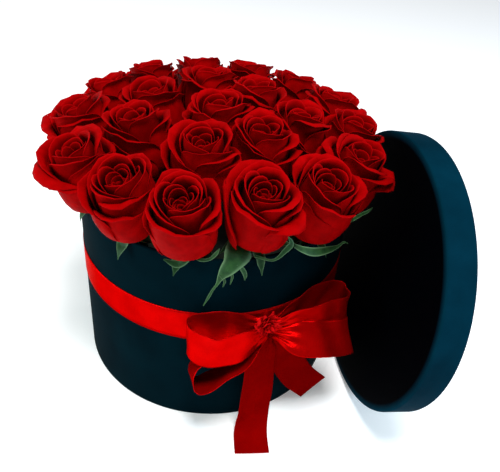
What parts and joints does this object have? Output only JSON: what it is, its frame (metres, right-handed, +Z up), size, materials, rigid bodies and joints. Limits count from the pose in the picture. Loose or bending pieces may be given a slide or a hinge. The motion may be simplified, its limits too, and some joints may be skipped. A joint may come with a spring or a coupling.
{
  "type": "flower box",
  "caption": "Round lidded hat box with satin ribbon and bow, a lid leaning beside it, and cut roses standing in wet foam in a liner.",
  "frame": {"origin": "centre of the box's underside", "axes": "+Z up along the box's axis, +X towards the lid that leans beside the box, -Y towards the side with the bow"},
  "size_m": [0.2566, 0.2804, 0.215],
  "materials": {
    "board": "matt black paper lining over grey board",
    "cover_paper": "matt dark teal, fine linen emboss",
    "satin_ribbon": "red satin",
    "petals": "velvety deep red rose petal",
    "greenery": "fresh rose stem and sepal",
    "liner_plastic": "thin dark plastic film",
    "foam": "wet green floral foam"
  },
  "bodies": {
    "box": {"box_wall": "board", "box_base": "board", "box_wrap": "cover_paper", "ribbon_band": "satin_ribbon", "bow_knot": "satin_ribbon", "bow_loop_left_upper": "satin_ribbon", "bow_loop_left_lower": "satin_ribbon", "bow_loop_right_upper": "satin_ribbon", "bow_loop_right_lower": "satin_ribbon", "ribbon_tail_long": "satin_ribbon", "ribbon_tail_short": "satin_ribbon"},
    "lid": {"lid_board": "board", "lid_rim": "board", "lid_wrap": "cover_paper"},
    "arrangement": {"foam_liner": "liner_plastic", "floral_foam": "foam", "bloom_01": "petals", "bloom_02": "petals", "bloom_03": "petals", "bloom_04": "petals", "bloom_05": "petals", "bloom_06": "petals", "bloom_07": "petals", "bloom_08": "petals", "bloom_09": "petals", "bloom_10": "petals", "bloom_11": "petals", "bloom_12": "petals", "bloom_13": "petals", "bloom_14": "petals", "bloom_15": "petals", "bloom_16": "petals", "bloom_17": "petals", "bloom_18": "petals", "bloom_19": "petals", "bloom_20": "petals", "bloom_21": "petals", "bloom_22": "petals", "stem_01": "greenery", "stem_02": "greenery", "stem_03": "greenery", "stem_04": "greenery", "stem_05": "greenery", "stem_06": "greenery", "stem_07": "greenery", "stem_08": "greenery", "stem_09": "greenery", "stem_10": "greenery", "stem_11": "greenery", "stem_12": "greenery", "stem_13": "greenery", "stem_14": "greenery", "stem_15": "greenery", "stem_16": "greenery", "stem_17": "greenery", "stem_18": "greenery", "stem_19": "greenery", "stem_20": "greenery", "stem_21": "greenery", "stem_22": "greenery"}
  },
  "joints": [
    {"name": "lid_away", "type": "slide", "parent": "box", "child": "lid", "axis": [1, 0, 0], "range_m": [0, 0.2]},
    {"name": "arrangement_lift", "type": "slide", "parent": "box", "child": "arrangement", "axis": [0, 0, 1], "range_m": [0, 0.2]}
  ]
}
